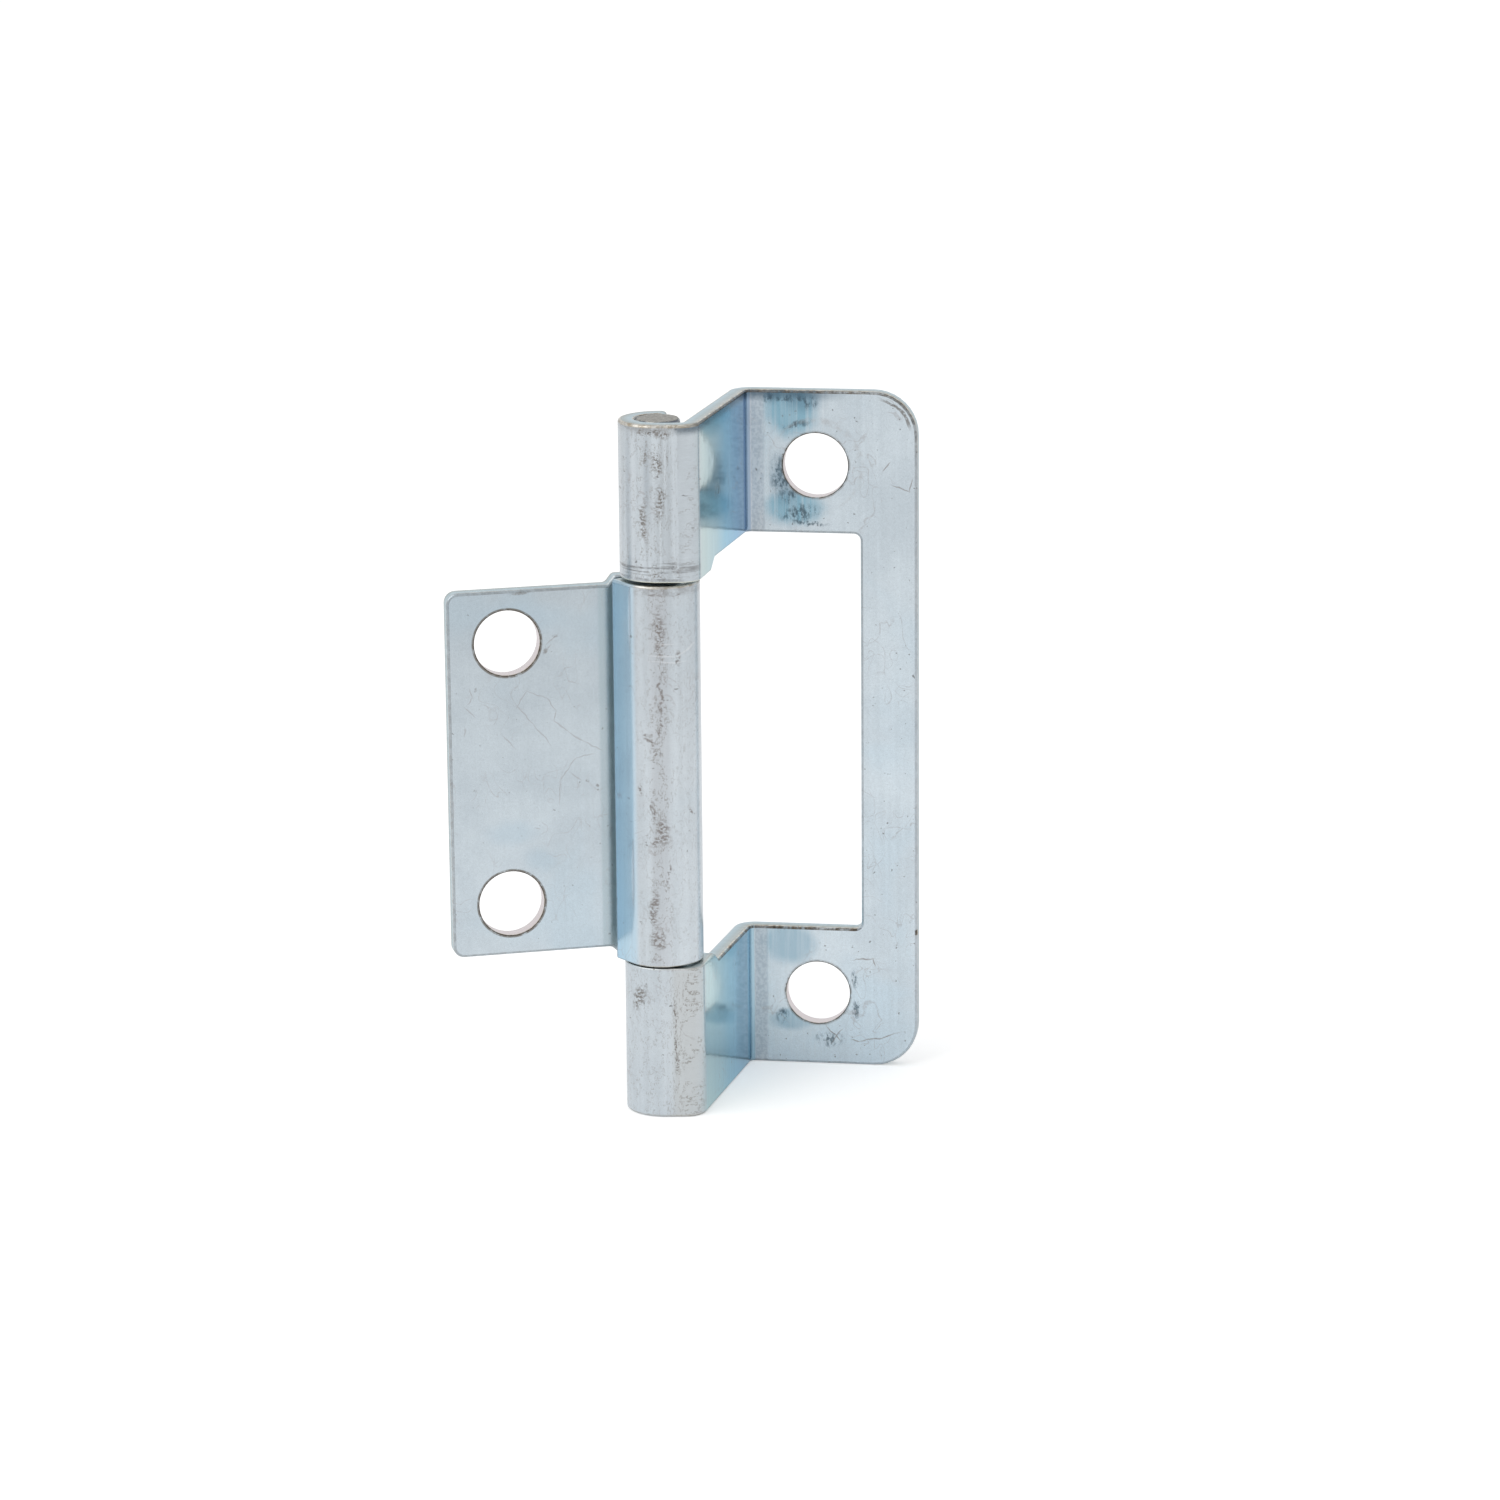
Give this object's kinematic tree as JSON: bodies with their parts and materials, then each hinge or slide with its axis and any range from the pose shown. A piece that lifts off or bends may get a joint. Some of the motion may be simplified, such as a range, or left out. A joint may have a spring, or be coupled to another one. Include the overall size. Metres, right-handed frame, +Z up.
{
  "type": "cranked flush hinge",
  "caption": "Cranked flush hinge in plated sheet steel: a tall leaf with a window, folded back from the barrel, and a short leaf curled round the same pin.",
  "frame": {"origin": "axis of the barrel, at the level of its lower end", "axes": "+Z up along the pin, +X from the pin towards the tall leaf's outer edge, +Y from the barrel back to the tall leaf"},
  "size_m": [0.0317, 0.0161, 0.05],
  "materials": {
    "leaf_zinc": "bright blue-passivated zinc plate",
    "small_leaf_zinc": "bright blue-passivated zinc plate",
    "pin_zinc": "drawn wire, dull plated ends"
  },
  "bodies": {
    "tall_leaf": {"cranked_leaf": "leaf_zinc", "hinge_pin": "pin_zinc"},
    "short_leaf": {"small_leaf": "small_leaf_zinc"}
  },
  "joints": [
    {"name": "leaf_swing", "type": "hinge", "parent": "tall_leaf", "child": "short_leaf", "pos_m": [0, 0, 0.0248], "axis": [0, 0, 1], "continuous": true}
  ]
}
